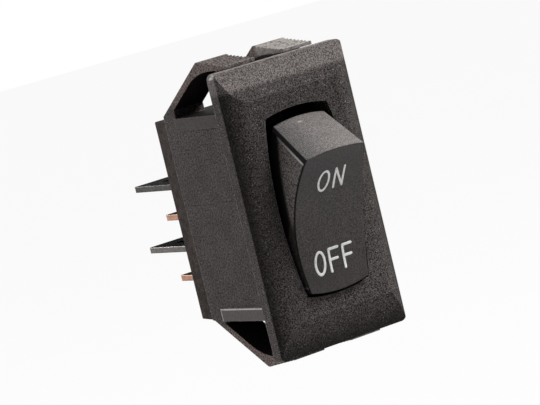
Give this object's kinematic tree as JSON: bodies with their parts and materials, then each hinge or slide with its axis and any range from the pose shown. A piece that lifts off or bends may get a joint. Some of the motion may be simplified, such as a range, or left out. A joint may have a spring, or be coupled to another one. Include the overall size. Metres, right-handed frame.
{
  "type": "rocker switch",
  "caption": "Snap-in rocker switch: bevelled bezel, scooped rocker marked ON and OFF, narrow body with spring wings at both ends and blade tabs at the rear.",
  "frame": {"origin": "middle of the bezel's back face, which seats on the panel", "axes": "+Z along the switch towards the ON end, -Y out of the panel towards the user, +Y towards the terminals, +X to the right seen from the user"},
  "size_m": [0.0206, 0.0418, 0.041],
  "materials": {
    "bezel_body": "coarse spark-eroded grain",
    "base": "plain moulded",
    "cap": "smooth satin",
    "carrier": "coarse spark-eroded grain",
    "plunger": "smooth moulded acetal",
    "spring_wire": "drawn wire",
    "blade": "rolled bronze strip",
    "contact": "silver contact face",
    "plated_tab": "dull tin plate",
    "copper_tab": "cut copper edges, dark faces"
  },
  "bodies": {
    "body": {"housing": "bezel_body", "base_plate": "base", "fixed_contact_a": "contact", "fixed_contact_b": "contact", "terminal_a_common": "plated_tab", "terminal_a_load": "plated_tab", "terminal_b_common": "copper_tab", "terminal_b_load": "copper_tab"},
    "rocker": {"rocker_cap": "cap", "rocker_carrier": "carrier"},
    "plunger_a": {"plunger_a": "plunger", "spring_a": "spring_wire"},
    "plunger_b": {"plunger_b": "plunger", "spring_b": "spring_wire"},
    "blade_a": {"blade_a": "blade", "moving_contact_a": "contact"},
    "blade_b": {"blade_b": "blade", "moving_contact_b": "contact"}
  },
  "joints": [
    {"name": "rocker_tilt", "type": "hinge", "parent": "body", "child": "rocker", "pos_m": [0, 0.0015, 0], "axis": [-1, 0, 0], "range_deg": [0, 37.5]},
    {"name": "plunger_a_slide", "type": "slide", "parent": "rocker", "child": "plunger_a", "axis": [0, -0.9469, -0.3214], "range_m": [0, 0.0003], "stiffness_N_per_m": 300, "springref_m": -0.002},
    {"name": "plunger_b_slide", "type": "slide", "parent": "rocker", "child": "plunger_b", "axis": [0, -0.9469, -0.3214], "range_m": [0, 0.0003], "stiffness_N_per_m": 300, "springref_m": -0.002},
    {"name": "blade_a_tilt", "type": "hinge", "parent": "body", "child": "blade_a", "pos_m": [-0.0025, 0.00935, 0], "axis": [-1, 0, 0], "range_deg": [-14, 0]},
    {"name": "blade_b_tilt", "type": "hinge", "parent": "body", "child": "blade_b", "pos_m": [0.0025, 0.00935, 0], "axis": [-1, 0, 0], "range_deg": [-14, 0]}
  ],
  "couplings": [
    {"joint": "blade_a_tilt", "follows": "rocker_tilt", "ratio": -0.37333},
    {"joint": "blade_b_tilt", "follows": "rocker_tilt", "ratio": -0.37333}
  ]
}
